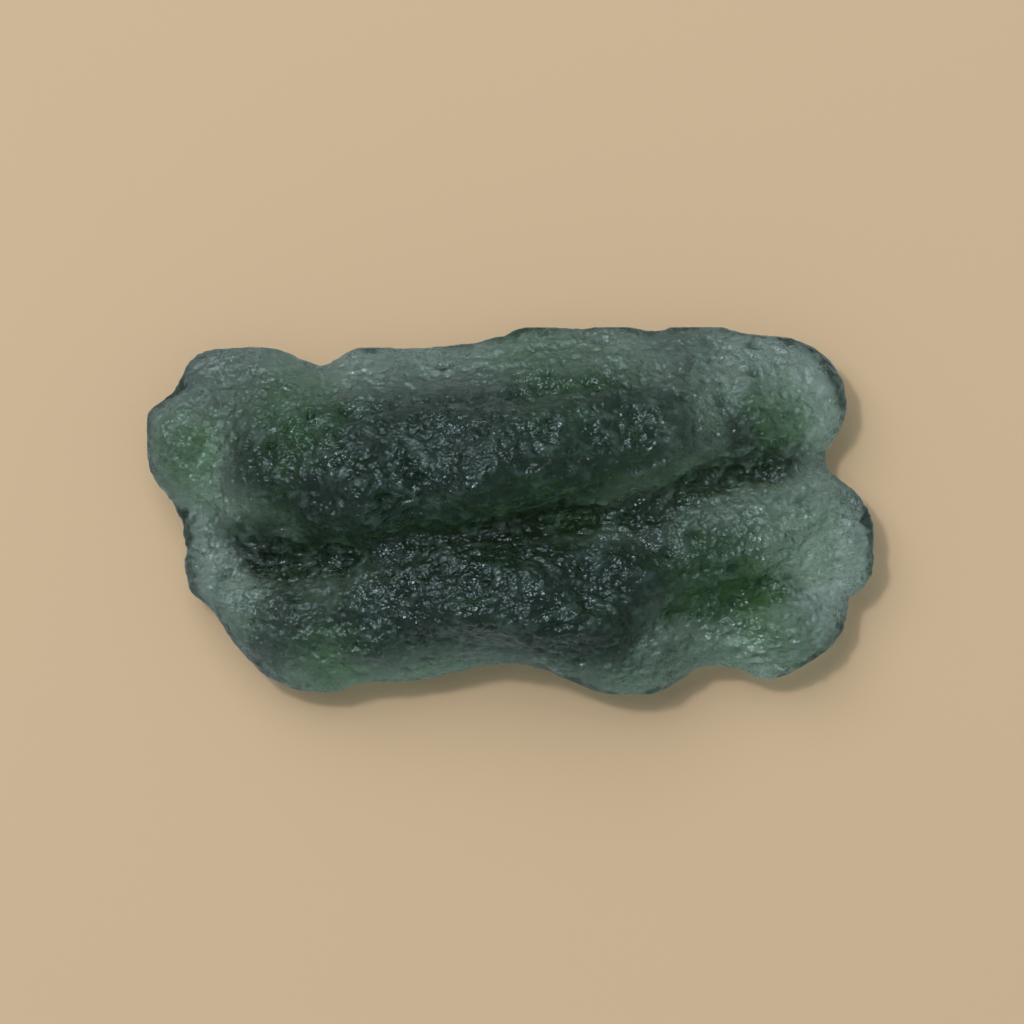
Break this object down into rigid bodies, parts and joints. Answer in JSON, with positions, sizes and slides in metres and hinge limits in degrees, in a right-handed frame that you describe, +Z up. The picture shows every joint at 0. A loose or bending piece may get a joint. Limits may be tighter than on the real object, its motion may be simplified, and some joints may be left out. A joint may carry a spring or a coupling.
{
  "type": "raw moldavite",
  "caption": "Raw piece of natural green glass, long and flat, with a lobed outline, lengthwise ridges and grooves, and an etched, pitted skin.",
  "frame": {"origin": "centre of the stone's box, on the surface that it lies on", "axes": "+Z up, away from the surface that it lies on; +X along the stone's length, towards the end with three lobes"},
  "size_m": [0.032, 0.0162, 0.0077],
  "materials": {
    "moldavite_glass": "dark green see-through natural glass, etched all over to a glossy, finely pitted skin"
  },
  "bodies": {
    "root": {"moldavite": "moldavite_glass"}
  },
  "joints": []
}
